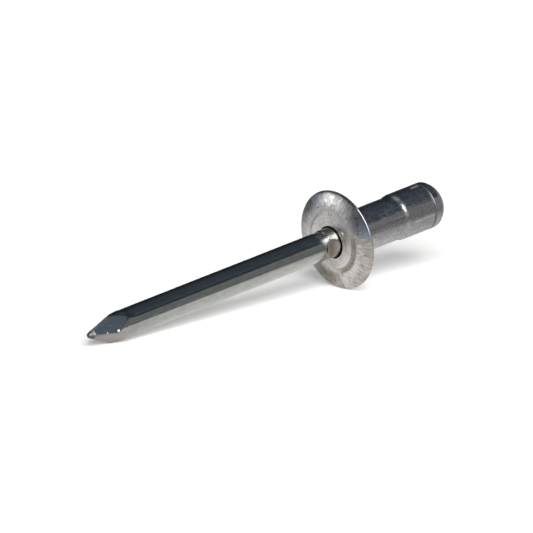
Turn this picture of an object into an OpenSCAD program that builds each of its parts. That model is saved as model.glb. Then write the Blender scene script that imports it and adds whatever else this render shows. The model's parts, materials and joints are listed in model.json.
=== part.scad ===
// Blind rivet before setting: a flanged tubular shell on a headed pulling mandrel.
// Each piece is drawn about its own axis, +X towards the tail, with the flange seat at X = 0.
// lay_down() then tips the rivet to its rest, on the flange's rim and a corner of the mandrel's point.

/* [Shell] */
// Diameter of the shank next to the flange
shank_d = 4.48; // [4.2:0.02:4.7]
// Diameter of the shank past its step, which the mandrel head matches
tail_d = 4.8; // [4.76:0.02:5.4]
// Distance from the flange seat to the start of the step
step_at = 7.4; // [5:0.1:9]
// Length of the cone that joins the two shank diameters
step_len = 0.4; // [0.2:0.05:1]
// Distance from the flange seat to the shell's tail face
shell_len = 11.5; // [10.5:0.1:18]
// Edge break on both sides of the seam between shell and mandrel head
seam_break = 0.05; // [0.02:0.01:0.12]
// Radial clearance of the mandrel stem in the shell's bore
bore_gap = 0.06; // [0.03:0.01:0.12]

/* [Flange] */
// Diameter of the flange
flange_d = 10.3; // [9.6:0.1:13]
// Height from the flange seat to the mouth face
flange_h = 1.13; // [1.05:0.01:1.6]
// Thickness of the flange at its rounded rim
rim_t = 0.26; // [0.16:0.01:0.36]
// Diameter of the raised boss round the mouth
boss_d = 5.86; // [5.2:0.02:6.4]
// Fall of the boss face from the mouth to the boss edge
boss_fall = 0.17; // [0.08:0.01:0.24]
// Depth of the crease outside the boss edge
crease_drop = 0.14; // [0.1:0.01:0.2]
// Radial width of the crease
crease_w = 0.5; // [0.36:0.02:0.7]
// Slope of the dome where it leaves the crease
dome_lean = 10; // [4:1:14]
// Radial clearance round the stem in the mouth recess
mouth_gap = 0.19; // [0.14:0.01:0.26]
// Depth of the mouth recess
mouth_depth = 1.5; // [0.8:0.1:2.2]
// Fillet between the shank and the flange seat
seat_fillet = 0.15; // [0.05:0.01:0.25]

/* [Mandrel] */
// Diameter of the mandrel stem
stem_d = 2.95; // [2.7:0.01:3.2]
// Distance from the mouth face to the shoulder of the point
stem_out = 29.6; // [24:0.2:36]
// Distance from the shoulder to the centre of the blunt nib
point_len = 3.85; // [2.5:0.05:6]
// Turn of the point's four flats about the axis
point_turn = 49; // [38:1:52]
// Diameter of the blunt nib
nib_d = 0.66; // [0.4:0.02:1.2]
// Distance of the nib from the axis, left by the wire cutter
nib_off = 0.18; // [0.02:0.02:0.3]
// Length of the head's straight wall behind the shell
head_wall = 0.68; // [0.3:0.02:1.6]
// Height of the head's domed crown past its straight wall
crown_h = 1.6; // [1:0.05:2]
// Rounding between the head's wall and its crown
crown_edge = 0.4; // [0.1:0.05:0.7]

/* [Break notch] */
// Distance from the flange seat to the notch, on the tail side
notch_at = 3; // [2:0.1:6]
// Depth of the notch
notch_depth = 0.42; // [0.2:0.02:0.6]
// Width of the notch at the stem's surface
notch_w = 0.6; // [0.3:0.05:1]

/* [Pinch] */
// Length of each of the two dents that hold the stem in the shell
pinch_len = 2; // [1.4:0.1:3]
// Depth of each dent
pinch_depth = 0.28; // [0.1:0.02:0.36]
// Turn of the dents about the axis
pinch_turn = 95; // [0:1:180]
// Length of each ear that the dents press out
ear_len = 1.4; // [1.2:0.05:1.8]
// Rise of the ears over the stem
ear_rise = 0.1; // [0.08:0.01:0.12]
// Gap between the pinch and the mouth face
pinch_gap = 0.05; // [0.03:0.01:0.3]

/* [Hidden] */
$fn = 96;

shank_r = shank_d / 2;
tail_r = tail_d / 2;
flange_r = flange_d / 2;
boss_r = boss_d / 2;
stem_r = stem_d / 2;
nib_r = nib_d / 2;
bore_r = stem_r + bore_gap;
mouth_r = stem_r + mouth_gap;

// The crease is a hollow arc from the boss edge that runs out level at its foot.
boss_edge_h = flange_h - boss_fall;
foot_r = boss_r + crease_w;
foot_h = boss_edge_h - crease_drop;
crease_r = (crease_w ^ 2 + crease_drop ^ 2) / (2 * crease_drop);

// The dome is an arc that leaves the crease's foot at its lean and runs tangent into the rim.
rim_r = rim_t / 2;
rim_run = flange_r - rim_r - foot_r;
rim_fall = foot_h - rim_r;
dome_sink = rim_fall * cos(dome_lean) - rim_run * sin(dome_lean) - rim_r;
dome_r = (rim_run ^ 2 + rim_fall ^ 2 - rim_r ^ 2) / (2 * dome_sink);
dome_mid_r = foot_r - dome_r * sin(dome_lean);
dome_mid_h = foot_h - dome_r * cos(dome_lean);
dome_end_r = dome_mid_r + dome_r * (flange_r - rim_r - dome_mid_r) / (dome_r - rim_r);
dome_end_h = dome_mid_h + dome_r * (rim_r - dome_mid_h) / (dome_r - rim_r);

// Places along the axis
mouth_x = -flange_h;
shoulder_x = mouth_x - stem_out;
nib_x = shoulder_x - point_len;
wall_end_x = shell_len + head_wall;
pinch_x = mouth_x - pinch_gap - pinch_len / 2;
ear_x = mouth_x - pinch_gap - ear_len;

// The crown is a ball's cap, tangent to the rounding at its edge.
crown_foot_r = tail_r - crown_edge;
crown_r = (crown_h ^ 2 + crown_foot_r ^ 2 - crown_edge ^ 2) / (2 * (crown_h - crown_edge));
crown_x = wall_end_x + crown_h - crown_r;
crown_turn = asin(crown_foot_r / (crown_r - crown_edge));

// Each dent is the print of a round punch laid across the stem.
punch_r = (pinch_len ^ 2 / 4 + pinch_depth ^ 2) / (2 * pinch_depth);
// Each ear is part of a rod a little thinner than the stem, set off centre, which leaves the pinch oval.
// The rod starts with a short taper inside the stem, and then widens slightly up to the mouth.
ear_share = 0.96;
ear_rod_r = stem_r * ear_share;
ear_off = stem_r + ear_rise - ear_rod_r;
ear_taper = 0.25;
ear_flare = 0.02;
// The point starts this far inside the stem.
point_lap = 0.05;

// The point's flats leave a square round the stem at the shoulder and touch the nib's ball. The ridge from the
// square's lowest corner to the ball meets the stem's surface in one corner, which the mandrel rests on.
square_r = stem_r * sqrt(2);
ridge_turn = 225 + point_turn;
ridge_reach = square_r - nib_off * sin(ridge_turn);
ridge_slope = acos(nib_r / norm([point_len, ridge_reach])) - atan(point_len / ridge_reach);
corner_x = shoulder_x - (square_r - stem_r) / tan(ridge_slope);
corner_z = stem_r * sin(ridge_turn);

// At rest a straight line touches that corner and the rim's rounding from below.
rest_run = -rim_r - corner_x;
rest_rise = flange_r - rim_r + corner_z;
rest_tilt = atan(rest_rise / rest_run) + asin(rim_r / norm([rest_run, rest_rise]));
rest_low = corner_x * sin(rest_tilt) + corner_z * cos(rest_tilt);
rest_left = nib_x * cos(rest_tilt) - nib_off * sin(rest_tilt) - nib_r;
rest_right = crown_x * cos(rest_tilt) + crown_r;

// Half section to solid: the sheet's X is the radius and its Y runs along the axis.
module turned() {
    rotate([0, 90, 0]) rotate_extrude() children();
}

module lay_down() {
    translate([-(rest_left + rest_right) / 2, 0, -rest_low]) rotate([0, -rest_tilt, 0]) children();
}

// ---- Shell ----

module shank_section() {
    polygon([
        [0, 0],
        [shank_r, 0],
        [shank_r, step_at],
        [tail_r, step_at + step_len],
        [tail_r, shell_len - seam_break],
        [tail_r - seam_break, shell_len],
        [0, shell_len]
    ]);
}

module seat_fillet_section() {
    translate([shank_r, 0]) difference() {
        translate([-seat_fillet, 0]) square([2 * seat_fillet, seat_fillet]);
        translate([seat_fillet, seat_fillet]) circle(seat_fillet);
    }
}

module boss_section() {
    polygon([[0, 0], [boss_r, 0], [boss_r, boss_edge_h], [mouth_r, flange_h], [0, flange_h]]);
}

module crease_section() {
    difference() {
        translate([mouth_r, 0]) square([foot_r - mouth_r, boss_edge_h]);
        translate([foot_r, foot_h + crease_r]) circle(crease_r);
    }
}

module dome_section() {
    intersection() {
        translate([dome_mid_r, dome_mid_h]) circle(dome_r);
        translate([boss_r, 0]) square([dome_end_r - boss_r, foot_h]);
    }
    polygon([
        [foot_r, 0],
        [flange_r - rim_r, 0],
        [flange_r - rim_r, rim_r],
        [dome_end_r, dome_end_h],
        [foot_r, dome_end_h]
    ]);
    translate([flange_r - rim_r, rim_r]) circle(rim_r);
}

module flange_section() {
    mirror([0, 1]) {
        boss_section();
        crease_section();
        dome_section();
    }
}

// Straight bore, opened out at the mouth and drawn in to the bore by a short cone
module bore_section() {
    cone_len = mouth_gap - bore_gap;
    polygon([
        [0, mouth_x - flange_h],
        [mouth_r, mouth_x - flange_h],
        [mouth_r, mouth_x + mouth_depth],
        [bore_r, mouth_x + mouth_depth + cone_len],
        [bore_r, shell_len + tail_r],
        [0, shell_len + tail_r]
    ]);
}

module rivet_body() {
    color([0.70, 0.69, 0.68]) lay_down() turned() difference() {
        union() {
            shank_section();
            seat_fillet_section();
            flange_section();
        }
        bore_section();
    }
}

// ---- Mandrel ----

// Stem with the V notch at which it breaks when the rivet is set
module stem_section() {
    polygon([
        [0, shoulder_x],
        [stem_r, shoulder_x],
        [stem_r, notch_at - notch_w / 2],
        [stem_r - notch_depth, notch_at],
        [stem_r, notch_at + notch_w / 2],
        [stem_r, shell_len],
        [0, shell_len]
    ]);
}

// Straight wall, rounded over into a ball's cap
module head_section() {
    polygon([
        [0, shell_len],
        [tail_r - seam_break, shell_len],
        [tail_r, shell_len + seam_break],
        [tail_r, wall_end_x],
        [crown_foot_r, wall_end_x],
        [crown_r * sin(crown_turn), crown_x + crown_r * cos(crown_turn)],
        [0, crown_x + crown_r * cos(crown_turn)]
    ]);
    translate([crown_foot_r, wall_end_x]) intersection() {
        circle(crown_edge);
        square(crown_edge);
    }
    translate([0, crown_x]) intersection() {
        circle(crown_r);
        translate([0, crown_r * cos(crown_turn)]) square(crown_r);
    }
}

// Four flats cut the stem's end down from the shoulder to a ball that sits a little off the axis.
module point() {
    intersection() {
        translate([nib_x - nib_r, 0, 0]) rotate([0, 90, 0])
            cylinder(r = stem_r, h = point_len + nib_r + point_lap);
        hull() {
            translate([shoulder_x + point_lap / 2, 0, 0]) rotate([point_turn, 0, 0])
                cube([point_lap, stem_d, stem_d], center = true);
            translate([nib_x, 0, nib_off]) sphere(nib_r, $fn = 32);
        }
    }
}

module dents() {
    for (side = [-1, 1])
        translate([pinch_x, 0, side * (stem_r - pinch_depth + punch_r)])
            rotate([90, 0, 0]) cylinder(r = punch_r, h = stem_d * 2, center = true);
}

module ears() {
    for (side = [-1, 1])
        translate([ear_x, side * ear_off, 0]) rotate([0, 90, 0]) rotate_extrude() polygon([
            [0, 0],
            [ear_rod_r - ear_off, 0],
            [ear_rod_r - ear_flare, ear_taper],
            [ear_rod_r, ear_len],
            [0, ear_len]
        ]);
}

module mandrel() {
    color([0.55, 0.57, 0.57]) lay_down() {
        difference() {
            union() {
                turned() {
                    stem_section();
                    head_section();
                }
                rotate([pinch_turn, 0, 0]) ears();
            }
            rotate([pinch_turn, 0, 0]) dents();
        }
        point();
    }
}

rivet_body();
mandrel();
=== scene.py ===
"""Blind rivet before setting: its formed shell and headed mandrel, with their finish, a stage and a camera.

Sizes are in metres. Each piece is worked out about the rivet's own axis, with X along it towards the tail
and X = 0 at the flange seat, and is then carried to its place in the frame. Turns about the axis go from 0
degrees at the back over 90 at the top to 180 at the front. Materials use the same places, in millimetres.
"""
import json
import math
from collections import namedtuple

import bpy
import numpy as np
from bpy.props import FloatProperty, FloatVectorProperty, IntProperty, PointerProperty
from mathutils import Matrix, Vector


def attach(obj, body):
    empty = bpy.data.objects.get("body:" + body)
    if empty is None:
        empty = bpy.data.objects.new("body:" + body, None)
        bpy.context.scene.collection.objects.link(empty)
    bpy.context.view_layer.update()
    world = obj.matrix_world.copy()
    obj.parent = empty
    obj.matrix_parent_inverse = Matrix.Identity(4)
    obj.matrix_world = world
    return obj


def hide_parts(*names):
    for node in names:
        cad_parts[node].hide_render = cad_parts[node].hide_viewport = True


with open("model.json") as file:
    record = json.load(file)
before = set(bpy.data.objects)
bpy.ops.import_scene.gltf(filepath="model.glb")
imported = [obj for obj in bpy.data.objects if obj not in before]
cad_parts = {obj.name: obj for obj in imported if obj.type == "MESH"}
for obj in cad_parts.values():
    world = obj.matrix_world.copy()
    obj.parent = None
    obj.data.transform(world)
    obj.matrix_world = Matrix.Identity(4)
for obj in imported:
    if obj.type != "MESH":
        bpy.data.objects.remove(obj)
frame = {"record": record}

bl_info = {
    "name": "Blind Rivet",
    "version": (1, 0, 0),
    "blender": (4, 5, 0),
    "location": "View3D > Sidebar > Rivet",
    "description": "Builds the finished shell and mandrel of a blind rivet, with a plain stage",
    "category": "Add Mesh",
}

MM = 0.001
TURN = 2 * math.pi
MOUNTS = {mount["name"]: mount for mount in frame["record"]["mounts"]}
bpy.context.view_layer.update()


def rivet_frame():
    """Centre of the flange seat, and the unit vectors along the axis, across it and up from it."""
    along = np.array(MOUNTS["shank"]["axis"], float)
    on_axis = np.array(MOUNTS["shank"]["pos_m"], float)
    on_seat = np.array(MOUNTS["flange_seat"]["pos_m"], float)
    across = np.array([0.0, 1.0, 0.0])
    return on_axis + along * ((on_seat - on_axis) @ along), along, across, np.cross(along, across)


SEAT, ALONG, ACROSS, ABOVE = rivet_frame()
TILT = math.atan2(ALONG[2], ALONG[0])
SHANK_R = MOUNTS["shank"]["dims"]["r_mm"] * MM
STEM_R = MOUNTS["mandrel_stem"]["dims"]["r_mm"] * MM


# ---- Settings ----


def length(name, description, size):
    shown = {"unit": "LENGTH", "subtype": "DISTANCE"}
    return FloatProperty(name=name, description=description, default=size, min=0, **shown)


def colour(name, description, rgb):
    shown = {"min": 0, "max": 1, "subtype": "COLOR"}
    return FloatVectorProperty(name=name, description=description, default=rgb, **shown)


def factor(name, description, value, high=1.0):
    return FloatProperty(name=name, description=description, default=value, min=0, max=high)


def angle(name, description, degrees):
    return FloatProperty(name=name, description=description, default=math.radians(degrees), subtype="ANGLE")


def count(name, description, value, low=3):
    return IntProperty(name=name, description=description, default=value, min=low)


class ShellSettings(bpy.types.PropertyGroup):
    shank_d: length("Shank diameter", "Diameter of the shank next to the flange", 2 * SHANK_R)
    tail_d: length("Tail diameter", "Diameter of the shank past its step", 4.8 * MM)
    step_at: length("Step place", "Distance from the flange seat to the step", 7.4 * MM)
    step_len: length("Step length", "Length of the cone that joins the two shank diameters", 0.4 * MM)
    shell_len: length("Shell length", "Distance from the flange seat to the tail face", 11.5 * MM)
    seam_break: length("Seam break", "Edge break on both sides of the seam", 0.04 * MM)
    bore_gap: length("Bore clearance", "Radial clearance of the stem in the bore", 0.06 * MM)
    flange_d: length("Flange diameter", "Diameter over the rim", 10.3 * MM)
    flange_h: length("Flange height", "Height from the flange seat to the mouth face", 1.13 * MM)
    rim_t: length("Rim thickness", "Thickness of the flange at its rounded rim", 0.26 * MM)
    boss_d: length("Boss diameter", "Diameter of the raised boss round the mouth", 5.86 * MM)
    boss_fall: length("Boss fall", "Fall of the boss face from mouth to edge", 0.17 * MM)
    crease_drop: length("Crease depth", "Depth of the crease outside the boss edge", 0.14 * MM)
    dome_lean: angle("Dome lean", "Slope of the dome where it leaves the crease", 10)
    crease_w: length("Crease width", "Radial width of the crease", 0.5 * MM)
    mouth_gap: length("Mouth clearance", "Radial clearance round the stem in the mouth", 0.19 * MM)
    mouth_depth: length("Mouth depth", "Depth of the mouth recess", 1.5 * MM)
    seat_fillet: length("Seat fillet", "Fillet between the shank and the flange seat", 0.15 * MM)
    step_round: length("Step rounding", "Rounding on both sides of the step", 1 * MM)
    edge: length("Edge", "Rounding of the formed edges", 0.05 * MM)
    around: count("Segments", "Segments round the axis", 432)
    waves: length("Waves", "Height of the soft unevenness of the formed surface", 0.0022 * MM)
    seed: count("Seed", "Seed of the tumbling marks", 11, 0)


class MandrelSettings(bpy.types.PropertyGroup):
    stem_out: length("Stem length", "Distance from the mouth face to the shoulder of the point", 29.6 * MM)
    point_len: length("Point length", "Distance from the shoulder to the centre of the nib", 3.85 * MM)
    point_turn: angle("Point turn", "Turn of the point's four flats about the axis", 49)
    point_edge: length("Point edge", "Rounding between the flats and the stem", 0.06 * MM)
    nib_d: length("Nib diameter", "Diameter of the blunt nib", 0.66 * MM)
    nib_off: length("Nib offset", "Distance of the nib from the axis", 0.18 * MM)
    head_wall: length("Head wall", "Length of the head's straight wall", 0.68 * MM)
    crown_h: length("Crown height", "Height of the domed crown", 1.5999 * MM)
    crown_edge: length("Crown edge", "Rounding between the wall and the crown", 0.4 * MM)
    notch_at: length("Notch place", "Distance from the flange seat to the break notch", 3 * MM)
    notch_depth: length("Notch depth", "Depth of the break notch", 0.42 * MM)
    notch_w: length("Notch width", "Width of the break notch", 0.6 * MM)
    pinch_len: length("Pinch length", "Length of each pinch dent", 2 * MM)
    pinch_depth: length("Pinch depth", "Depth of each pinch dent", 0.28 * MM)
    pinch_turn: angle("Pinch turn", "Turn of the pinch dents about the axis", 95)
    ear_len: length("Ear length", "Length of each ear beside the dents", 1.4 * MM)
    ear_rise: length("Ear rise", "Rise of the ears over the stem", 0.1 * MM)
    ear_taper: length("Ear taper", "Length of the ears' sloping front", 0.25 * MM)
    pinch_gap: length("Pinch gap", "Gap between the pinch and the mouth face", 0.05 * MM)
    around: count("Segments", "Segments round the axis", 336)
    cut_waves: length("Cut waves", "Height of the unevenness of the sheared point", 0.0014 * MM)
    drawn_waves: length("Drawn waves", "Height of the waviness of the drawn stem", 0.0006 * MM)
    seed: count("Seed", "Seed of the handling marks", 5, 0)


class FinishSettings(bpy.types.PropertyGroup):
    aluminium: colour("Aluminium", "Colour of the flange", (0.63, 0.615, 0.605))
    # This brown is painted shade in the crease and low on the dome, and real stain in scattered spots.
    shade_and_stain: colour("Stain", "Colour of the shell in the crease and in worn spots", (0.22, 0.19, 0.165))
    # The shank is painted darker than the flange, as shade in its reflections.
    shank: colour("Shank", "Colour of the shell's drawn shank", (0.385, 0.375, 0.38))
    # The near black inside the mouth and bore is painted shade.
    bore: colour("Bore", "Colour of the shell inside its mouth and bore", (0.05, 0.05, 0.05))
    # The bluish patches on the dome are painted reflections.
    reflection_slate: colour("Slate", "Colour of the flange's bluish worn patches", (0.26, 0.30, 0.38))
    aluminium_rough: factor("Aluminium roughness", "Roughness of the flange", 0.33)
    shank_rough: factor("Shank roughness", "Roughness of the shell's shank", 0.22)
    steel: colour("Steel", "Colour of the drawn stem", (0.34, 0.35, 0.33))
    steel_rough: factor("Steel roughness", "Roughness of the drawn stem", 0.1)
    cut: colour("Cut steel", "Colour of the flats of the point", (0.33, 0.335, 0.345))
    # The lower front flat is painted darker and browner than the other flats, as shade.
    under: colour("Lower flat", "Colour of the point's lower front flat", (0.325, 0.305, 0.295))
    cut_rough: factor("Cut roughness", "Roughness of the flats of the point", 0.07)
    # The nib is painted darker, with a lavender tint, as shade that dims its glint.
    nib: colour("Nib", "Colour of the blunt nib", (0.15, 0.147, 0.165))
    nib_rough: factor("Nib roughness", "Roughness of the blunt nib", 0.5)
    # The head is paler than the stem, partly its own tint and partly painted light that lightens its lower
    # side.
    head: colour("Head", "Colour of the mandrel's domed head", (0.45, 0.445, 0.455))
    # The darker seam is painted shade that dims its glint.
    seam: colour("Seam", "Colour of the head where it meets the shell", (0.25, 0.25, 0.26))
    seam_rough: factor("Seam roughness", "Roughness of the head where it meets the shell", 0.4)
    # The pinch is painted darker and warmer than the stem, as shade that dims its highlight.
    pinch: colour("Pinch", "Colour of the steel between the pinch dents", (0.29, 0.285, 0.265))
    # The dents' brown is a painted reflection of the flange.
    dent: colour("Dent", "Colour of the steel in the pinch dents", (0.27, 0.23, 0.20))
    pinch_rough: factor("Pinch roughness", "Roughness of the steel at the pinch", 0.3)


class StageSettings(bpy.types.PropertyGroup):
    floor_size: length("Floor size", "Side of the square floor", 4.0)
    floor: colour("Floor", "Colour of the floor", (0.91, 0.90, 0.89))
    floor_lift: factor("Floor lift", "Light that the floor adds to what is seen of it", 0.27)
    bright: length("Bright floor", "How far the floor stays bright in the metal", 6 * MM)
    dim: length("Dim floor", "How far away the floor is dim in the metal", 48 * MM)
    far_floor: colour("Far floor", "Colour of the dim floor in the metal", (0.045, 0.052, 0.064))
    wall: colour("Wall", "Colour of the room's wall and of the floor before it", (0.31, 0.32, 0.325))
    room_low: colour("Low room", "Colour of the room's lower part in the metal", (0.03, 0.036, 0.044))
    room_high: colour("High room", "Colour of the room's upper part in the metal", (0.084, 0.107, 0.142))
    glow: colour("Glow", "Colour of the soft glow beside the ceiling's light", (0.18, 0.23, 0.27))
    ceiling: colour("Ceiling", "Colour of the light on the ceiling", (0.55, 0.58, 0.62))
    fill: colour("Fill", "Colour of the faint light from all sides", (0.06, 0.06, 0.06))
    key: factor("Key", "Radiance of the overhead softbox", 9.9, 50)
    back: factor("Back light", "Radiance of the low softbox behind the flange", 5.0, 50)
    view_turn: angle("View turn", "Turn of the camera about the rivet, from the front", -44.14)
    view_rise: angle("View rise", "Height of the camera above the horizon", 14.24)
    lens: FloatProperty(name="Lens", description="Focal length in millimetres", default=1500, min=50)
    field: length("Field", "Width of the picture at the rivet", 53.41 * MM)


# ---- Lines and surfaces ----


def unit(vector):
    return vector / np.linalg.norm(vector)


def arc(centre, radius, start, stop, points=25):
    """Points (axial, radial) at centre plus radius times (cosine, sine) of each turn from start to stop."""
    turn = np.linspace(start, stop, points)
    return np.stack([centre[0] + radius * np.cos(turn), centre[1] + radius * np.sin(turn)], 1)


def rounded(*corners):
    """A line through (axial, radial, rounding) corners. Each but the first and last becomes the arc of that
    radius that touches both runs, given by nine points of its chord pushed out from its centre."""
    rows = np.array(corners, float)
    made = [rows[:1, :2]]
    for before, here, after in zip(rows[:-2, :2], rows[1:-1], rows[2:, :2]):
        point, radius = here[:2], here[2]
        back, ahead = unit(before - point), unit(after - point)
        half = math.acos(np.clip(back @ ahead, -1, 1)) / 2
        centre = point + unit(back + ahead) * radius / math.sin(half)
        first, last = point + back * radius / math.tan(half), point + ahead * radius / math.tan(half)
        chord = np.linspace(first, last, 9) - centre
        made.append(centre + radius * chord / np.linalg.norm(chord, axis=1)[:, None])
    made.append(rows[-1:, :2])
    return np.concatenate(made)


def stretch(points, steps):
    """The same line in that many equal steps of its own length, without its last point."""
    run = np.r_[0, np.cumsum(np.linalg.norm(np.diff(points, axis=0), axis=1))]
    places = np.linspace(0, run[-1], steps + 1)[:-1]
    return np.stack([np.interp(places, run, points[:, 0]), np.interp(places, run, points[:, 1])], 1)


def turned(profile, around):
    """The profile carried round the axis: (x, r) at turn a becomes (x, r cos a, r sin a)."""
    turns = np.linspace(0, TURN, around, endpoint=False)
    x = np.broadcast_to(profile[:, :1], (len(profile), around))
    return np.stack([x, profile[:, 1:] * np.cos(turns), profile[:, 1:] * np.sin(turns)], -1)


def grid_normals(points, closed):
    """Outward unit normals of a grid: the step round the axis crossed with the step along the profile."""
    around = np.roll(points, -1, 1) - np.roll(points, 1, 1)
    if closed:
        along = np.roll(points, -1, 0) - np.roll(points, 1, 0)
    else:
        along = np.gradient(points, axis=0)
    normal = np.cross(around, along)
    return normal / np.linalg.norm(normal, axis=-1, keepdims=True)


def ripple(points, seed, waves, short, long):
    """Smooth noise of about unit height: sine waves on random headings, with lengths from short to long."""
    draw = np.random.default_rng(seed)
    headings = draw.normal(size=(waves, 3))
    headings /= np.linalg.norm(headings, axis=1)[:, None]
    rates = TURN / (short * (long / short) ** draw.random(waves))
    starts = draw.random(waves) * TURN
    total = sum(np.sin(points @ (way * rate) + start) for way, rate, start in zip(headings, rates, starts))
    return total / math.sqrt(waves)


def dings(points, places, widths, depths):
    """Shallow round dents: each takes depth times exp(-(distance / width) squared) off the surface."""
    total = np.zeros(points.shape[:-1])
    for place, width, depth in zip(places, widths, depths):
        total -= depth * np.exp(-((points - place) ** 2).sum(-1) / width**2)
    return total


def soft_min(first, second, blend):
    """The lower of two surfaces, with the edge between them rounded over about blend."""
    lap = np.clip(0.5 + 0.5 * (second - first) / blend, 0, 1)
    return second * (1 - lap) + first * lap - blend * lap * (1 - lap)


def grid_faces(rows, columns, closed):
    """Quads between neighbours of a grid that closes round the axis, and along its profile if closed."""
    row = np.arange(rows if closed else rows - 1)[:, None]
    column = np.arange(columns)[None]
    near, far, beside = row * columns, (row + 1) % rows * columns, (column + 1) % columns
    quads = [near + column, near + beside, far + beside, far + column]
    return np.stack(quads, -1).reshape(-1, 4)


def fan(tip, ring):
    """Triangles from the vertex numbered tip to a ring of vertex numbers."""
    return np.stack([np.full(len(ring), tip), ring, np.roll(ring, -1)], 1)


def new_piece(name, points, *faces):
    """A smooth mesh object at its place in the frame, from points about the axis and arrays of faces."""
    world = SEAT + points[:, :1] * ALONG + points[:, 1:2] * ACROSS + points[:, 2:] * ABOVE
    sides = np.concatenate([np.full(len(group), group.shape[1]) for group in faces])
    corners = np.concatenate([group.ravel() for group in faces])
    mesh = bpy.data.meshes.new(name)
    mesh.vertices.add(len(world))
    mesh.vertices.foreach_set("co", world.astype(np.float32).ravel())
    mesh.loops.add(len(corners))
    mesh.loops.foreach_set("vertex_index", corners.astype(np.int32))
    mesh.polygons.add(len(sides))
    mesh.polygons.foreach_set("loop_start", (np.cumsum(sides) - sides).astype(np.int32))
    mesh.polygons.foreach_set("use_smooth", np.ones(len(sides), bool))
    mesh.update(calc_edges=True)
    piece = bpy.data.objects.new(name, mesh)
    bpy.context.scene.collection.objects.link(piece)
    return piece


def finish_piece(piece, material, node):
    """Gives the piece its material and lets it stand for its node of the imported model."""
    piece.data.materials.append(material)
    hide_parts(node)
    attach(piece, "root")


# ---- Shell ----


def flange_lines(shell):
    """Boss edge, crease, dome and rim as (axial, radial) lines. The crease is a hollow arc that runs out
    level at its foot. The dome is an arc that leaves the foot at its lean and runs into the rim's round."""
    boss_r, rim_r = shell.boss_d / 2, shell.rim_t / 2
    edge_x = shell.boss_fall - shell.flange_h
    foot_x, foot_r = edge_x + shell.crease_drop, boss_r + shell.crease_w
    crease_r = (shell.crease_w**2 + shell.crease_drop**2) / (2 * shell.crease_drop)
    crease_turn = math.asin(shell.crease_w / crease_r)
    rim_run, rim_fall = shell.flange_d / 2 - rim_r - foot_r, -foot_x - rim_r
    lean = math.sin(shell.dome_lean)
    drop = rim_fall * math.cos(shell.dome_lean) - rim_run * lean - rim_r
    dome_r = (rim_run**2 + rim_fall**2 - rim_r**2) / (2 * drop)
    dome_turn = math.asin((rim_run + dome_r * lean) / (dome_r - rim_r))
    crease = arc((foot_x - crease_r, foot_r), crease_r, -crease_turn, 0)
    dome_centre = (foot_x + dome_r * math.cos(shell.dome_lean), foot_r - dome_r * lean)
    dome = arc(dome_centre, dome_r, math.pi - shell.dome_lean, math.pi - dome_turn)
    rim = arc((-rim_r, shell.flange_d / 2 - rim_r), rim_r, math.pi - dome_turn, 0)
    return np.array([edge_x, boss_r]), crease, dome, rim


def shell_profile(shell):
    """Closed profile of the shell: out of the bore, over the flange, along the shank and back to the bore.
    Each number at the end is how many rows of the grid a line gets."""
    bore_r, mouth_r = STEM_R + shell.bore_gap, STEM_R + shell.mouth_gap
    shank_r, tail_r = shell.shank_d / 2, shell.tail_d / 2
    mouth_x, recess_x = -shell.flange_h, shell.mouth_depth - shell.flange_h
    throat_x = recess_x + shell.mouth_gap - shell.bore_gap
    boss_edge, crease, dome, rim = flange_lines(shell)
    boss_mid = (boss_edge + (mouth_x, mouth_r)) / 2
    # The boss edge is rounded more than the rest and runs into the crease past its first quarter.
    boss_round = 8 * shell.edge
    skip = len(crease) // 4
    mouth = rounded(
        (throat_x, bore_r, 0),
        (recess_x, mouth_r, shell.edge),
        (mouth_x, mouth_r, shell.edge),
        (*boss_mid, 0),
    )
    boss = rounded((*boss_mid, 0), (*boss_edge, boss_round), (*crease[skip], 0))
    seat = np.array([rim[-1], (0, shank_r + shell.seat_fillet)])
    fillet_centre = (shell.seat_fillet, shank_r + shell.seat_fillet)
    fillet = arc(fillet_centre, shell.seat_fillet, math.pi, 1.5 * math.pi)
    shank = np.array([fillet[-1], (shell.step_at - shell.step_len, shank_r)])
    step_end = shell.step_at + shell.step_len
    step = rounded(
        (*shank[1], 0),
        (shell.step_at, shank_r, shell.step_round),
        (step_end, tail_r, shell.step_round),
        (step_end + shell.step_len, tail_r, 0),
    )
    tail = rounded(
        (*step[-1], 0),
        (shell.shell_len - shell.seam_break, tail_r, shell.edge),
        (shell.shell_len, tail_r - shell.seam_break, 0),
    )
    bore_end = np.array([(shell.shell_len, bore_r)])
    return np.concatenate([
        stretch(mouth, 30),
        stretch(boss, 24),
        stretch(crease[skip:], 18),
        stretch(dome, 48),
        stretch(rim, 16),
        stretch(seat, 10),
        stretch(fillet, 6),
        stretch(shank, 20),
        stretch(step, 18),
        stretch(tail, 14),
        tail[-1:],
        bore_end,
    ])


# Knocks on the boss: turn in degrees, then distance from the axis, width and depth in millimetres
BOSS_KNOCKS = np.array([
    (145, 2.04, 0.16, 0.05),
    (258, 1.95, 0.1, 0.025),
    (268, 1.98, 0.12, 0.03),
    (278, 1.93, 0.1, 0.025),
])


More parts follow.
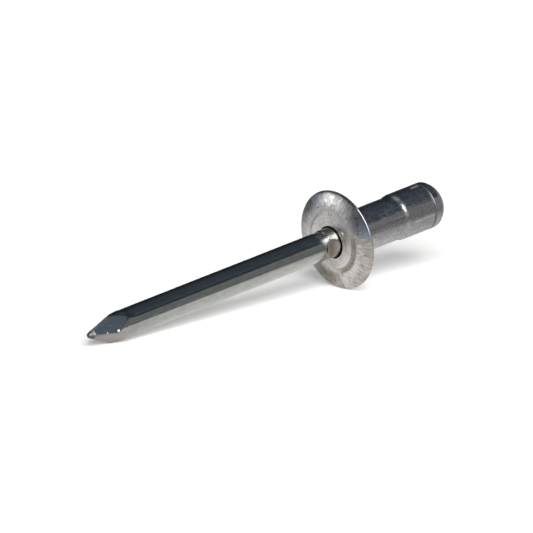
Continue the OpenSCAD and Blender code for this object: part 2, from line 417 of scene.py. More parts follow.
def tumbling_marks(points, shell):
    """Height of what forming and tumbling leave on the shell: small dents at random, most of them on the
    flange, a few knocks on the boss, and soft waves, sunk by three times their height to stay inside."""
    draw = np.random.default_rng(shell.seed)
    marks = 420
    flange_share = 0.62
    # The dents on the flange keep off its middle and its rim. Small ones are more common than wide ones.
    turns = draw.random(marks) * TURN
    on_flange = draw.random(marks) < flange_share
    flange_reach = shell.flange_d / 2 * np.sqrt(0.14 + 0.8 * draw.random(marks))
    radius = np.where(on_flange, flange_reach, shell.tail_d / 2)
    x = np.where(on_flange, -shell.flange_h / 2, shell.shell_len * draw.random(marks))
    places = np.stack([x, radius * np.cos(turns), radius * np.sin(turns)], 1)
    widths = MM * (0.07 + 0.16 * draw.random(marks) ** 2)
    depths = widths * (0.006 + 0.02 * draw.random(marks))
    height = dings(points, places, widths, depths)

    knock_turns = np.radians(BOSS_KNOCKS[:, 0])
    reach, knock_widths, knock_depths = MM * BOSS_KNOCKS[:, 1:].T
    below_mouth = 0.04 * MM
    knock_x = np.full(len(reach), below_mouth - shell.flange_h)
    places = np.stack([knock_x, reach * np.cos(knock_turns), reach * np.sin(knock_turns)], 1)
    height += dings(points, places, knock_widths, knock_depths)
    return height + shell.waves * (ripple(points, shell.seed + 1, 36, 0.45 * MM, 1.4 * MM) - 3)


class RIVET_OT_add_shell(bpy.types.Operator):
    """Adds the formed aluminium shell: flange, shank, tail and bore in one closed surface"""

    bl_idname = "rivet.add_shell"
    bl_label = "Add Shell"

    def execute(self, context):
        shell = context.scene.rivet_shell
        profile = shell_profile(shell)
        points = turned(profile, shell.around)
        points = points + grid_normals(points, True) * tumbling_marks(points, shell)[..., None]
        piece = new_piece("shell_skin", points.reshape(-1, 3), grid_faces(len(profile), shell.around, True))
        aluminium = aluminium_material(context.scene.rivet_finish, shell)
        finish_piece(piece, aluminium, "rivet_body")
        return {"FINISHED"}


# ---- Mandrel ----


def point_places(mandrel, shell):
    """Places along the axis: the shoulder, the nib's centre, and where the point's rounding has run out."""
    shoulder_x = -shell.flange_h - mandrel.stem_out
    return shoulder_x, shoulder_x - mandrel.point_len, shoulder_x + 8 * mandrel.point_edge


def pinch_places(mandrel, shell):
    """Places along the axis where the pinch starts and where it ends, just outside the mouth."""
    end_x = -shell.flange_h - mandrel.pinch_gap
    return end_x - mandrel.pinch_len, end_x


def flat_slope(mandrel):
    """Slope to the axis of a line from the stem's surface at the shoulder that touches the nib's ball."""
    nib_r, run = mandrel.nib_d / 2, mandrel.point_len
    return math.atan2(STEM_R, run) - math.asin(nib_r / math.hypot(run, STEM_R))


def mandrel_profile(mandrel, shell):
    """Open profile of the mandrel from nib to crown, and the places of its two poles, which it leaves out.
    Each number at the end is how many rows of the grid a line gets."""
    nib_r, tail_r, tail_x = mandrel.nib_d / 2, shell.tail_d / 2, shell.shell_len
    shoulder_x, nib_x, past_point = point_places(mandrel, shell)
    pinch_start, pinch_end = pinch_places(mandrel, shell)
    wall_end, foot_r = tail_x + mandrel.head_wall, tail_r - mandrel.crown_edge
    crown_rise = mandrel.crown_h - mandrel.crown_edge
    crown_r = (mandrel.crown_h**2 + foot_r**2 - mandrel.crown_edge**2) / (2 * crown_rise)
    crown_turn = math.asin(foot_r / (crown_r - mandrel.crown_edge))
    notch_start, notch_end = mandrel.notch_at - mandrel.notch_w / 2, mandrel.notch_at + mandrel.notch_w / 2
    notch_r = STEM_R - mandrel.notch_depth
    break_r, break_x = tail_r - shell.seam_break, tail_x + shell.seam_break
    wall_x = tail_x + 4 * shell.seam_break

    nib = arc((nib_x, 0), nib_r, math.pi, math.pi / 2 + flat_slope(mandrel))
    point = np.array([nib[-1], (shoulder_x, STEM_R), (past_point, STEM_R)])
    stem = np.array([point[-1], (pinch_start - mandrel.ear_taper, STEM_R)])
    pinch = np.array([stem[1], (pinch_end - shell.edge, STEM_R)])
    ear_end = np.array([pinch[1], (pinch_end + shell.edge, STEM_R)])
    inside = np.array([ear_end[1], (notch_start, STEM_R)])
    notch = np.array([inside[1], (mandrel.notch_at, notch_r), (notch_end, STEM_R), (tail_x, STEM_R)])
    under = np.array([notch[3], (tail_x, tail_r - 2 * shell.seam_break)])
    seam = rounded(
        (*under[1], 0),
        (tail_x, break_r, shell.edge / 4),
        (break_x, tail_r, shell.edge),
        (wall_x, tail_r, 0),
    )
    wall = np.array([seam[-1], (wall_end, tail_r)])
    edge = arc((wall_end, foot_r), mandrel.crown_edge, math.pi / 2, crown_turn)
    crown = arc((wall_end + mandrel.crown_h - crown_r, 0), crown_r, crown_turn, 0, 65)
    profile = np.concatenate([
        stretch(nib, 12)[1:],
        stretch(point, 110),
        stretch(stem, 30),
        stretch(pinch, 62),
        stretch(ear_end, 8),
        stretch(inside, 6),
        notch[:3],
        stretch(under, 3),
        stretch(seam, 10),
        stretch(wall, 6),
        stretch(edge, 10),
        stretch(crown, 22),
    ])
    return profile, (nib_x - nib_r, wall_end + mandrel.crown_h)


def cut_point(share, turns, mandrel):
    """Radius of the point about a centre that moves from the axis to the nib as share goes from 0 at the
    shoulder to 1 at the ball. Its section is a square that shrinks while its corners round off to the ball:
    half side plus rounding over the cosine of the turn from a flat, or the far hit on a corner's round. The
    lower of that and the stem counts."""
    half = STEM_R * (1 - share)
    round_r = np.maximum(share, 0) * mandrel.nib_d / 2 * math.cos(flat_slope(mandrel))
    off_flat = np.abs((turns - mandrel.point_turn + TURN / 8) % (TURN / 4) - TURN / 8)
    flat = (half + round_r) / np.cos(off_flat)
    reach = half * (np.cos(off_flat) + np.sin(off_flat))
    corner = reach + np.sqrt(np.maximum(reach**2 - 2 * half**2 + round_r**2, 0))
    square = np.where((half + round_r) * np.tan(off_flat) <= half, flat, corner)
    centre = mandrel.nib_off * share
    stem = np.sqrt(STEM_R**2 - (centre * np.cos(turns)) ** 2) - centre * np.sin(turns)
    return soft_min(square, stem, mandrel.point_edge)


# Radius of the rod that each ear is part of, as a share of the stem's, and how much that rod widens
EAR_SHARE = 0.96
EAR_FLARE = 0.02 * MM
# Rounding where an ear meets the stem, and at the edge of a dent
EAR_BLEND = 0.03 * MM
DENT_BLEND = 0.12 * MM


def pinched(x, turns, mandrel, shell):
    """Radius of the pinched stem. Each dent is the print of a round punch laid across the stem, so its
    radius is its floor's height over the cosine of the turn. Each ear is part of a thinner rod set off
    centre, which leaves the pinch oval. The larger of stem and ear counts, and where a dent is lower, the
    dent."""
    _, pinch_end = pinch_places(mandrel, shell)
    punch_r = (mandrel.pinch_len**2 / 4 + mandrel.pinch_depth**2) / (2 * mandrel.pinch_depth)
    run = np.clip(x - (pinch_end - mandrel.pinch_len / 2), -punch_r, punch_r)
    floor = STEM_R - mandrel.pinch_depth + punch_r - np.sqrt(punch_r**2 - run**2)
    off_dent = turns - mandrel.pinch_turn - math.pi / 2
    least_cosine = 0.05
    dent = floor / np.maximum(np.abs(np.cos(off_dent)), least_cosine)

    rod_r = EAR_SHARE * STEM_R
    off = STEM_R + mandrel.ear_rise - rod_r
    start = pinch_end - mandrel.ear_len
    rod_x = [start, start + mandrel.ear_taper, pinch_end - shell.edge / 2, pinch_end + shell.edge / 2]
    rod = np.interp(x, rod_x, [rod_r - off, rod_r - EAR_FLARE, rod_r, rod_r - off])
    beside = np.abs(np.sin(off_dent))
    ear = off * beside + np.sqrt(np.maximum(rod**2 - (off * np.cos(off_dent)) ** 2, 0))
    full = -soft_min(-np.full_like(ear, STEM_R), -ear, EAR_BLEND)
    full = np.where(ear < STEM_R - EAR_BLEND, STEM_R, full)
    return soft_min(full, dent, DENT_BLEND)


# Nicks in the point: distance past the shoulder, then across, up, width and depth, in millimetres
POINT_NICKS = np.array([
    (1.37, -1.41, 0.02, 0.21, 0.05),
    (2.47, -0.97, 0.13, 0.14, 0.0065),
])


def handling_marks(points, mandrel, shoulder_x):
    """Height of the nicks in the sheared point, of its unevenness, sunk by two and a half times its height
    to stay inside, and of the drawn stem's faint waves."""
    nicks = MM * POINT_NICKS
    places = nicks[:, :3] * (-1, 1, 1) + (shoulder_x, 0, 0)
    height = dings(points, places, nicks[:, 3], nicks[:, 4])
    on_point = np.clip((shoulder_x - points[..., 0]) / (0.3 * MM), 0, 1)
    cut = mandrel.cut_waves * (ripple(points, mandrel.seed, 30, 0.5 * MM, 1.6 * MM) - 2.5)
    lengthwise = points * (0.04, 1, 1)
    drawn = mandrel.drawn_waves * ripple(lengthwise, mandrel.seed + 1, 30, 0.25 * MM, 1.2 * MM)
    return height + on_point * cut + (1 - on_point) * drawn


def mandrel_points(profile, mandrel, shell):
    """The turned profile with the radius of the pinch and of the cut point put in, the point's end moved
    off the axis to the nib, and the marks added along the normals."""
    points = turned(profile, mandrel.around)
    turns = np.linspace(0, TURN, mandrel.around, endpoint=False)
    x = points[..., 0]
    pinch_start, _ = pinch_places(mandrel, shell)
    in_pinch = (x > pinch_start) & (x < shell.edge - shell.flange_h)
    radius = np.where(in_pinch, pinched(x, turns, mandrel, shell), profile[:, 1:])
    shoulder_x, _, past_point = point_places(mandrel, shell)
    share = (shoulder_x - x) / (mandrel.point_len + mandrel.nib_d / 2 * math.sin(flat_slope(mandrel)))
    in_point = (share < 1) & (x < past_point)
    radius = np.where(in_point, cut_point(np.clip(share, -1, 1), turns, mandrel), radius)
    points[..., 1:] *= (radius / profile[:, 1:])[..., None]
    points[..., 2] += mandrel.nib_off * np.clip(share, 0, 1)
    return points + grid_normals(points, False) * handling_marks(points, mandrel, shoulder_x)[..., None]


class RIVET_OT_add_mandrel(bpy.types.Operator):
    """Adds the steel mandrel: point, stem, pinch, notch and domed head in one closed surface"""

    bl_idname = "rivet.add_mandrel"
    bl_label = "Add Mandrel"

    def execute(self, context):
        mandrel, shell = context.scene.rivet_mandrel, context.scene.rivet_shell
        profile, (nib_end, crown_end) = mandrel_profile(mandrel, shell)
        points = mandrel_points(profile, mandrel, shell)
        rows, columns = points.shape[:2]
        total = rows * columns
        poles = np.array([(nib_end, 0, mandrel.nib_off), (crown_end, 0, 0)])
        first, last = np.arange(columns)[::-1], np.arange(total - columns, total)
        piece = new_piece(
            "mandrel_skin",
            np.concatenate([points.reshape(-1, 3), poles]),
            grid_faces(rows, columns, False),
            fan(total, first),
            fan(total + 1, last),
        )
        steel = steel_material(context.scene.rivet_finish, mandrel, shell)
        finish_piece(piece, steel, "mandrel")
        return {"FINISHED"}


# ---- Materials ----


# A point about the rivet's axis: its vector, its part along the axis, its distance and direction from it
Place = namedtuple("Place", "about axial radius spoke")
# Where the shell's flange and shank are, how far off the crease is, and what patterns their metal has
Patterns = namedtuple("Patterns", "on_face on_shank off_crease strokes lines mottle grain")


def in_mm(size):
    return size / MM


class Wiring:
    """Adds nodes to a material or world and joins them up."""

    def __init__(self, tree):
        self.tree = tree
        tree.nodes.clear()

    def feed(self, socket, value):
        """Joins the socket to an output, or sets it to a value."""
        if isinstance(value, bpy.types.NodeSocket):
            self.tree.links.new(value, socket)
        else:
            socket.default_value = value

    def add(self, kind, inputs=(), **settings):
        """A new node. Inputs pairs socket names or numbers with a value or the output that feeds them."""
        node = self.tree.nodes.new(kind)
        for key, value in settings.items():
            setattr(node, key, value)
        for socket, value in dict(inputs).items():
            self.feed(node.inputs[socket], value)
        return node

    def math(self, operation, first, *others, clamp=False):
        """The operation on the first two values, then on the result and the next."""
        for other in others:
            node = self.add("ShaderNodeMath", {0: first, 1: other}, operation=operation, use_clamp=clamp)
            first = node.outputs[0]
        return first

    def product(self, *factors):
        return self.math("MULTIPLY", *factors)

    def distance(self, first, second):
        gap = self.math("SUBTRACT", first, second)
        return self.add("ShaderNodeMath", {0: gap}, operation="ABSOLUTE").outputs[0]

    def vector(self, operation, first, second=(0, 0, 0), result="Vector"):
        node = self.add("ShaderNodeVectorMath", {0: first, 1: second}, operation=operation)
        return node.outputs[result]

    def scaled(self, vector, factors):
        return self.vector("MULTIPLY", vector, factors)

    def dot(self, vector, heading):
        return self.vector("DOT_PRODUCT", vector, heading, "Value")

    def shaded(self, colour, shade):
        """The colour times a single number."""
        return self.add("ShaderNodeVectorMath", {0: colour, "Scale": shade}, operation="SCALE").outputs[0]

    def ramp(self, value, low, high, to_low=0.0, to_high=1.0):
        """Smooth step from to_low at low to to_high at high."""
        sockets = {"Value": value, "From Min": low, "From Max": high, "To Min": to_low, "To Max": to_high}
        return self.add("ShaderNodeMapRange", sockets, interpolation_type="SMOOTHSTEP").outputs[0]

    def noise(self, vector, scale, detail, roughness):
        sockets = {"Vector": vector, "Scale": scale, "Detail": detail, "Roughness": roughness}
        return self.add("ShaderNodeTexNoise", sockets).outputs["Fac"]

    def mix(self, share, first, second):
        """First to second as share goes from 0 to 1. Each is an output, a colour or a number."""
        ends = []
        for value in (first, second):
            if not isinstance(value, bpy.types.NodeSocket):
                value = (*np.broadcast_to(value, 3), 1)
            ends.append(value)
        return self.add("ShaderNodeMix", {0: share, 6: ends[0], 7: ends[1]}, data_type="RGBA").outputs[2]


def metal(name):
    """A new material with its wiring and a metallic shader."""
    material = bpy.data.materials.new(name)
    material.use_nodes = True
    wiring = Wiring(material.node_tree)
    shader = wiring.add("ShaderNodeBsdfPrincipled", {"Metallic": 1.0})
    wiring.add("ShaderNodeOutputMaterial", {"Surface": shader.outputs[0]})
    return material, wiring, shader


def rivet_place(wiring):
    """The surface's Object coordinates as a Place about the rivet's axis, in millimetres."""
    point = wiring.add("ShaderNodeTexCoord").outputs["Object"]
    sockets = {"Vector": point, "Location": SEAT, "Rotation": (0, -TILT, 0), "Scale": (MM, MM, MM)}
    about = wiring.add("ShaderNodeMapping", sockets, vector_type="TEXTURE").outputs[0]
    axial = wiring.add("ShaderNodeSeparateXYZ", {0: about}).outputs[0]
    flat = wiring.scaled(about, (0, 1, 1))
    radius = wiring.vector("LENGTH", flat, result="Value")
    return Place(about, axial, radius, wiring.vector("NORMALIZE", flat))


def facing(wiring, place, turn, wide, narrow, least=0.0):
    """A soft sector about a turn: 1 within narrow degrees of it, falling to least at wide degrees."""
    centre = math.radians(turn)
    along = wiring.dot(place.spoke, (0, math.cos(centre), math.sin(centre)))
    return wiring.ramp(along, math.cos(math.radians(wide)), math.cos(math.radians(narrow)), least, 1.0)


def patch(wiring, side, run, start, full, strength=1.0):
    """A soft sector that sets in along a run: nothing at start, its strength at full."""
    return wiring.product(side, wiring.ramp(run, start, full, 0.0, strength))


def from_flange(wiring, place, on_flange, on_shank):
    """A number that has one value on the flange's face and another on the shank."""
    return wiring.ramp(place.axial, -0.1, 0.3, on_flange, on_shank)


def set_surface(wiring, shader, base, rough, height, depth):
    """Feeds colour, roughness and bump into the shader."""
    bump = wiring.add("ShaderNodeBump", {"Height": height, "Distance": depth, "Strength": 1.0})
    for socket, source in (("Base Color", base), ("Roughness", rough), ("Normal", bump.outputs[0])):
        wiring.feed(shader.inputs[socket], source)


def shell_patterns(wiring, place, shell):
    """Masks and patterns of the shell. Strokes lie like spokes and change slowly outwards. Lines are the
    strokes on the dome, rings on the boss and drawn lines on the shank. Mottle is coarse, grain fine."""
    boss_r = in_mm(shell.boss_d / 2)
    crease_r = boss_r + in_mm(0.3 * shell.crease_w)
    on_shank = wiring.ramp(place.axial, 0.0, 0.3)
    on_boss = wiring.ramp(place.radius, boss_r + 0.1, boss_r - 0.1)
    out = wiring.add("ShaderNodeCombineXYZ", {0: place.radius}).outputs[0]
    fanned = wiring.vector("ADD", wiring.scaled(place.spoke, (16, 16, 16)), wiring.scaled(out, (1.1, 0, 0)))
    strokes = wiring.noise(fanned, 1.3, 3.0, 0.6)
    rings = wiring.noise(out, 5.0, 3.0, 0.6)
    drawn = wiring.noise(wiring.scaled(place.about, (0.08, 1, 1)), 3.4, 4.0, 0.65)
    return Patterns(
        on_face=wiring.ramp(place.axial, 0.0, -0.15),
        on_shank=on_shank,
        off_crease=wiring.distance(place.radius, crease_r),
        strokes=strokes,
        lines=wiring.mix(on_shank, wiring.mix(on_boss, strokes, rings), drawn),
        mottle=wiring.noise(place.about, 1.5, 4.0, 0.6),
        grain=wiring.noise(place.about, 4.5, 3.0, 0.65),
    )


def painted_shade_and_stain(wiring, place, patterns, shell):
    """Share of brown: painted shade in the crease and over the dome at the lower front and over the dome's
    lowest part, and real stain in scattered spots all over."""
    boss_r = in_mm(shell.boss_d / 2)
    crease = wiring.product(
        wiring.ramp(patterns.off_crease, 0.42, 0.12),
        wiring.ramp(patterns.strokes, 0.3, 0.6, 0.55, 1.0),
        facing(wiring, place, 209, 62, 30, 0.12),
    )
    front = patch(wiring, facing(wiring, place, 209, 85, 20), place.radius, boss_r, boss_r + 1.5, 0.5)
    below = patch(wiring, facing(wiring, place, 298, 55, 5), place.radius, boss_r, boss_r + 0.8, 0.85)
    # Painted shade: the crease, the dome's lower front and its lowest part, on the flange's face only.
    shade_and_stain = wiring.product(wiring.math("MAXIMUM", crease, front, below), patterns.on_face)
    # Real stain: scattered brown spots.
    spots = wiring.ramp(patterns.mottle, 0.5, 0.72, 0.0, 0.35)
    return wiring.math("ADD", shade_and_stain, spots, clamp=True)


def painted_blue_reflection(wiring, place, patterns, shell):
    """Share of the painted bluish reflections at the dome's upper front and back, broken up by the strokes.
    """
    boss_r = in_mm(shell.boss_d / 2)
    front = patch(wiring, facing(wiring, place, 151, 24, 6), place.radius, boss_r + 0.6, boss_r + 1.1)
    back = patch(wiring, facing(wiring, place, 57, 31, 10), place.radius, boss_r + 0.8, boss_r + 1.4, 0.75)
    broken = wiring.ramp(patterns.strokes, 0.35, 0.6, 0.3, 1.0)
    return wiring.product(wiring.math("MAXIMUM", front, back), broken, patterns.on_face)


def shell_shade(wiring, place, patterns, shell):
    """Factor on the colour: dark and bright lines, a painted dark reflection on the rim at the flange's
    top, and on the shank a dark line up to the step, a bright streak past it and faint blotches."""
    boss_r, rim_r, step = in_mm(shell.boss_d / 2), in_mm(shell.flange_d / 2), in_mm(shell.step_at)
    darkest = wiring.ramp(place.radius, boss_r, boss_r + 0.3, 0.86, 0.66)
    lines = wiring.ramp(patterns.lines, 0.3, 0.7, darkest, 1.14)
    # A darker line along the shank up to the step.
    dark_line = patch(wiring, facing(wiring, place, 165, 3, 1), place.axial, step + 0.4, step - 0.1, -0.3)
    streak = patch(wiring, facing(wiring, place, 186, 4, 1.5), place.axial, step + 0.5, step + 1.4, 0.5)
    marks = wiring.product(wiring.math("ADD", dark_line, streak), patterns.on_shank)
    # Painted dark reflection on the rim at the flange's top.
    dark = patch(wiring, facing(wiring, place, 96, 40, 24), place.radius, rim_r - 0.3, rim_r - 0.12, 0.72)
    shade = wiring.product(wiring.math("ADD", lines, marks), wiring.math("SUBTRACT", 1.0, dark))
    blotches = wiring.product(wiring.ramp(patterns.grain, 0.3, 0.7, -0.15, 0.15), patterns.on_shank)
    return wiring.math("ADD", shade, blotches)


def shell_roughness(wiring, place, patterns, finish, shell):
    """Roughness of flange and shank, uneven by mottle and grain, and higher in the crease and where the
    top of the tail is rubbed."""
    tail = in_mm(shell.shell_len)
    own = from_flange(wiring, place, finish.aluminium_rough, finish.shank_rough)
    coarse = wiring.ramp(patterns.mottle, 0.3, 0.7, -0.06, 0.08)
    fine = wiring.ramp(patterns.grain, 0.3, 0.7, -0.05, 0.05)
    crease = wiring.product(wiring.ramp(patterns.off_crease, 0.55, 0.2, 0.0, 0.16), patterns.on_face)
    rub = wiring.product(
        facing(wiring, place, 95, 6, 3),
        wiring.ramp(place.axial, tail - 1.5, tail - 1.1),
        wiring.ramp(place.axial, tail - 0.1, tail - 0.4, 0.0, 0.45),
    )
    return wiring.math("ADD", wiring.math("ADD", coarse, fine, crease, rub), own, clamp=True)


def shell_bump(wiring, place, patterns):
    """Height of the bump: more grain than lines on the flange, flatter and mostly lines on the shank."""
    share = from_flange(wiring, place, 0.65, 0.15)
    lines = wiring.product(patterns.lines, wiring.math("SUBTRACT", 1.0, share))
    both = wiring.math("ADD", lines, wiring.product(patterns.grain, share))
    return wiring.product(both, from_flange(wiring, place, 1.0, 0.7))


def aluminium_material(finish, shell):
    """Cold-headed aluminium: a grainy flange with stain spots, painted shade and painted bluish
    reflections, a shank painted darker as shade, with drawn lines, and a bore painted dark as shade.
    """
    material, wiring, shader = metal("tumbled_aluminium")
    place = rivet_place(wiring)
    patterns = shell_patterns(wiring, place, shell)
    # The shank's darker colour is painted shade.
    base = wiring.mix(patterns.on_shank, finish.aluminium[:], finish.shank[:])
    # Painted shade in the crease and low on the dome, and stain spots, in brown.
    base = wiring.mix(painted_shade_and_stain(wiring, place, patterns, shell), base, finish.shade_and_stain[:])
    # Painted bluish reflections on the dome's upper front and back.
    base = wiring.mix(painted_blue_reflection(wiring, place, patterns, shell), base, finish.reflection_slate[:])
    base = wiring.shaded(base, shell_shade(wiring, place, patterns, shell))
    # Painted shade: the mouth's recess and the bore go near black.
    mouth_r = in_mm(STEM_R + shell.mouth_gap)
    base = wiring.mix(wiring.ramp(place.radius, mouth_r + 0.06, mouth_r + 0.01), base, finish.bore[:])
    rough = shell_roughness(wiring, place, patterns, finish, shell)
    set_surface(wiring, shader, base, rough, shell_bump(wiring, place, patterns), 0.03 * MM)
    return material


def steel_material(finish, mandrel, shell):
    """Steel: a drawn and faintly clouded stem, a cut point with smooth flats and a dull nib, a duller pinch
    with dents painted brown as a reflection of the flange, and a paler head that is dull and painted dark
    as shade at its seam with the shell. The lower front flat, the nib and the pinch are painted darker as
    shade, and the head's paleness is partly painted light."""
    material, wiring, shader = metal("drawn_steel")
    place = rivet_place(wiring)
    axial, radius = place.axial, place.radius
    stem_r, tail = in_mm(STEM_R), in_mm(shell.shell_len)
    shoulder = -in_mm(shell.flange_h + mandrel.stem_out)
    nib = shoulder - in_mm(mandrel.point_len)
    pinch = -in_mm(shell.flange_h + mandrel.pinch_gap + mandrel.pinch_len)
    lower_flat = math.degrees(mandrel.point_turn) + 180

    cut_off = wiring.ramp(radius, stem_r - 0.005, stem_r - 0.04)
    on_point = wiring.product(wiring.ramp(axial, shoulder + 0.05, shoulder - 0.05), cut_off)
    on_lower_flat = facing(wiring, place, lower_flat, 49, 43)
    on_nib = wiring.ramp(axial, nib + 0.5, nib + 0.1)
    outside = wiring.ramp(axial, 1.0, 0.0)
    at_pinch = wiring.product(wiring.ramp(axial, pinch + 0.6, pinch + 1.2), outside)
    sunk = wiring.ramp(radius, stem_r - 0.03, stem_r - 0.16)
    in_dent = wiring.product(sunk, wiring.ramp(axial, pinch - 0.5, pinch), outside)
    on_head = wiring.ramp(axial, tail - 1, tail)
    at_seam = wiring.ramp(wiring.distance(axial, tail), 0.15, 0.08)

    drawn = wiring.noise(wiring.scaled(place.about, (0.03, 1, 1)), 8.0, 4.0, 0.65)
    clouds = wiring.noise(wiring.scaled(place.about, (0.4, 1, 1)), 2.2, 4.0, 0.65)
    mottle = wiring.noise(place.about, 1.8, 4.0, 0.65)
    grain = wiring.noise(place.about, 14.0, 3.0, 0.6)

    # Painted shade: the lower front flat is darker and browner.
    cut = wiring.mix(on_lower_flat, finish.cut[:], finish.under[:])
    # Painted shade: the nib is darker, to dim its glint.
    cut = wiring.mix(on_nib, cut, finish.nib[:])
    # The paler head is partly painted light.
    base = wiring.mix(on_head, finish.steel[:], finish.head[:])
    base = wiring.shaded(base, wiring.ramp(clouds, 0.3, 0.7, 0.9, 1.08))
    base = wiring.mix(on_point, base, cut)
    # Painted shade: the pinch is darker and warmer.
    base = wiring.mix(at_pinch, base, finish.pinch[:])
    # Painted reflection: the dents are brown like the flange they mirror.
    base = wiring.mix(in_dent, base, finish.dent[:])
    # Painted shade at the seam between head and shell.
    base = wiring.mix(at_seam, base, finish.seam[:])

    cut_rough = wiring.ramp(mottle, 0.3, 0.7, finish.cut_rough - 0.02, finish.cut_rough + 0.03)
    cut_rough = wiring.mix(on_nib, cut_rough, finish.nib_rough)
    rough = wiring.ramp(drawn, 0.3, 0.7, finish.steel_rough - 0.03, finish.steel_rough + 0.05)
    rough = wiring.mix(at_pinch, rough, finish.pinch_rough)
    rough = wiring.mix(at_seam, rough, finish.seam_rough)
    rough = wiring.mix(on_point, rough, cut_rough)
    set_surface(wiring, shader, base, rough, wiring.mix(on_point, drawn, grain), 0.0015 * MM)
    return material


# ---- Stage ----


# Headings in the room: to its wall, to the light on its ceiling and to the glow beside that light
TO_WALL = (0.65, -0.75, 0)
TO_CEILING = (0, 0.26, 0.966)
TO_GLOW = (0.1, -0.45, 0.88)


def floor_material(stage):
    """Matt, and lifted to white where it is seen straight or in the metal. The metal sees it dim with
    distance, to the wall's grey before the wall and to a darker one behind."""
    material = bpy.data.materials.new("floor_white")
    material.use_nodes = True
    wiring = Wiring(material.node_tree)
    path = wiring.add("ShaderNodeLightPath").outputs
    seen = wiring.math("MAXIMUM", path["Is Camera Ray"], path["Is Glossy Ray"], path["Is Transmission Ray"])
    place = wiring.add("ShaderNodeTexCoord").outputs["Object"]
    away = wiring.vector("LENGTH", place, result="Value")
    level = wiring.ramp(away, 30 * MM, 150 * MM, stage.floor_lift, stage.floor_lift + 0.25)
    lift = wiring.add("ShaderNodeEmission", {"Strength": wiring.product(seen, level)})
    matt = wiring.add("ShaderNodeBsdfDiffuse", {"Color": (*stage.floor, 1)})
    near = wiring.add("ShaderNodeAddShader", {0: matt.outputs[0], 1: lift.outputs[0]})
    before_wall = wiring.ramp(wiring.dot(place, TO_WALL), -30 * MM, 30 * MM)
    grey = wiring.mix(before_wall, stage.far_floor[:], stage.wall[:])
    far = wiring.add("ShaderNodeEmission", {"Color": grey})
    share = wiring.product(path["Is Glossy Ray"], wiring.ramp(away, stage.bright, stage.dim))
    surface = wiring.add("ShaderNodeMixShader", {0: share, 1: near.outputs[0], 2: far.outputs[0]})
    wiring.add("ShaderNodeOutputMaterial", {"Surface": surface.outputs[0]})
    return material


def add_floor(stage):
    """A flat square floor that holds the rivet's shadow."""
    half = stage.floor_size / 2
    corners = [(-half, -half, 0), (half, -half, 0), (half, half, 0), (-half, half, 0)]
    mesh = bpy.data.meshes.new("floor")
    mesh.from_pydata(corners, [], [(0, 1, 2, 3)])
    mesh.materials.append(floor_material(stage))
    floor = bpy.data.objects.new("floor", mesh)
    bpy.context.scene.collection.objects.link(floor)


def add_softbox(name, heading, distance, width, height, radiance):
    """An area lamp on that heading from the seat, facing it. Its power is radiance times pi times area."""
    lamp = bpy.data.lights.new(name, "AREA")
    lamp.shape, lamp.size, lamp.size_y = "RECTANGLE", width, height
    lamp.energy = radiance * math.pi * width * height
    box = bpy.data.objects.new(name, lamp)
    towards = Vector(heading).normalized()
    box.location = Vector(SEAT) + towards * distance
    box.rotation_euler = towards.to_track_quat("Z", "Y").to_euler()
    box.visible_camera = False
    bpy.context.scene.collection.objects.link(box)


def studio_world(stage):
    """White where it is seen straight. In the metal it is a dark room, bluish higher up, with a grey wall,
    a light on the ceiling and a soft glow beside it. On matt surfaces it is a faint light all round."""
    world = bpy.data.worlds.new("studio")
    world.use_nodes = True
    wiring = Wiring(world.node_tree)
    heading = wiring.add("ShaderNodeTexCoord").outputs["Generated"]
    height = wiring.add("ShaderNodeSeparateXYZ", {0: heading}).outputs[2]
    on_wall = wiring.product(
        wiring.ramp(height, 0.60, 0.54),
        wiring.ramp(wiring.dot(heading, TO_WALL), 0.1, 0.4),
    )
    room = wiring.mix(wiring.ramp(height, 0.45, 0.92), stage.room_low[:], stage.room_high[:])
    room = wiring.mix(wiring.ramp(wiring.dot(heading, TO_GLOW), 0.84, 0.95), room, stage.glow[:])
    room = wiring.mix(wiring.ramp(wiring.dot(heading, TO_CEILING), 0.93, 0.98), room, stage.ceiling[:])
    room = wiring.mix(on_wall, room, stage.wall[:])
    path = wiring.add("ShaderNodeLightPath").outputs
    light = wiring.mix(path["Is Diffuse Ray"], room, stage.fill[:])
    light = wiring.mix(path["Is Camera Ray"], light, (1, 1, 1))
    background = wiring.add("ShaderNodeBackground", {"Color": light, "Strength": 1.0})
    wiring.add("ShaderNodeOutputWorld", {"Surface": background.outputs[0]})
    bpy.context.scene.world = world


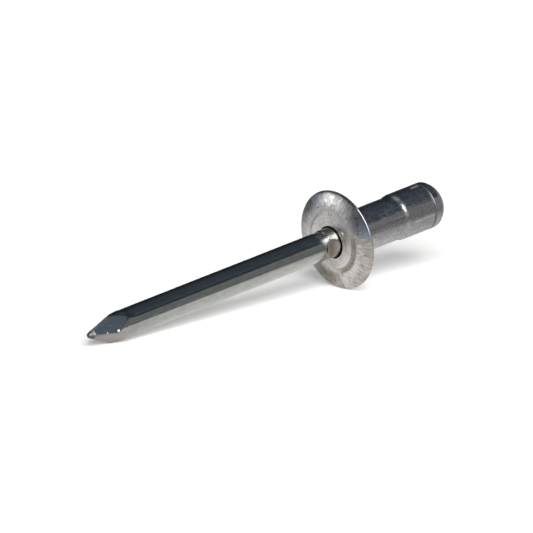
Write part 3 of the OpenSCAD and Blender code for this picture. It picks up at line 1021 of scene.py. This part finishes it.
def add_camera(stage):
    """A long lens on the view's heading, aimed so that the mouth lies right of and above the middle of a
    picture 533 pixels wide."""
    turn, rise = stage.view_turn, stage.view_rise
    back = Vector((math.sin(turn) * math.cos(rise), -math.cos(turn) * math.cos(rise), math.sin(rise)))
    right = Vector((math.cos(turn), math.sin(turn), 0))
    up = back.cross(right)
    picture = 533
    pixel = stage.field / picture
    pixels_right, pixels_up = 63.41, 23.99
    mouth_x = -1.208 * MM
    mouth = Vector(SEAT) + Vector(ALONG) * mouth_x
    optics = bpy.data.cameras.new("camera")
    optics.lens, optics.sensor_width = stage.lens, 36
    optics.clip_end = 10
    camera = bpy.data.objects.new("camera", optics)
    distance = stage.field * stage.lens / optics.sensor_width
    camera.location = mouth + back * distance
    centre = mouth - right * pixels_right * pixel - up * pixels_up * pixel
    camera.rotation_euler = (camera.location - centre).to_track_quat("Z", "Y").to_euler()
    bpy.context.scene.collection.objects.link(camera)
    bpy.context.scene.camera = camera


class RIVET_OT_add_stage(bpy.types.Operator):
    """Adds the white floor, the softboxes, the studio round them and the camera"""

    bl_idname = "rivet.add_stage"
    bl_label = "Add Stage"

    def execute(self, context):
        stage = context.scene.rivet_stage
        add_floor(stage)
        studio_world(stage)
        key_heading, back_heading = (-0.42, -0.74, 0.62), (-0.69, 0.70, 0.08)
        add_softbox("key", key_heading, distance=2.4, width=1.6, height=1.9, radiance=stage.key)
        add_softbox("back_light", back_heading, distance=1.8, width=0.64, height=0.44, radiance=stage.back)
        add_camera(stage)
        context.scene.view_settings.view_transform = "Standard"
        return {"FINISHED"}


# ---- Add-on ----


class RIVET_PT_panel(bpy.types.Panel):
    """Lists the steps that build the rivet and the settings of each piece, its finish and the stage"""

    bl_idname = "RIVET_PT_panel"
    bl_label = "Blind Rivet"
    bl_space_type = "VIEW_3D"
    bl_region_type = "UI"
    bl_category = "Rivet"

    def draw(self, context):
        for operator in OPERATORS:
            self.layout.operator(operator.bl_idname)
        for group, settings in GROUPS.items():
            box = self.layout.box()
            for name in settings.__annotations__:
                box.prop(getattr(context.scene, group), name)


OPERATORS = (RIVET_OT_add_shell, RIVET_OT_add_mandrel, RIVET_OT_add_stage)
GROUPS = {
    "rivet_shell": ShellSettings,
    "rivet_mandrel": MandrelSettings,
    "rivet_finish": FinishSettings,
    "rivet_stage": StageSettings,
}
CLASSES = (*GROUPS.values(), *OPERATORS, RIVET_PT_panel)


def register():
    for cls in CLASSES:
        bpy.utils.register_class(cls)
    for name, group in GROUPS.items():
        setattr(bpy.types.Scene, name, PointerProperty(type=group))


def unregister():
    for name in GROUPS:
        delattr(bpy.types.Scene, name)
    for cls in reversed(CLASSES):
        bpy.utils.unregister_class(cls)


def main():
    register()
    bpy.ops.rivet.add_shell()
    bpy.ops.rivet.add_mandrel()
    bpy.ops.rivet.add_stage()


if __name__ == "__main__":
    main()
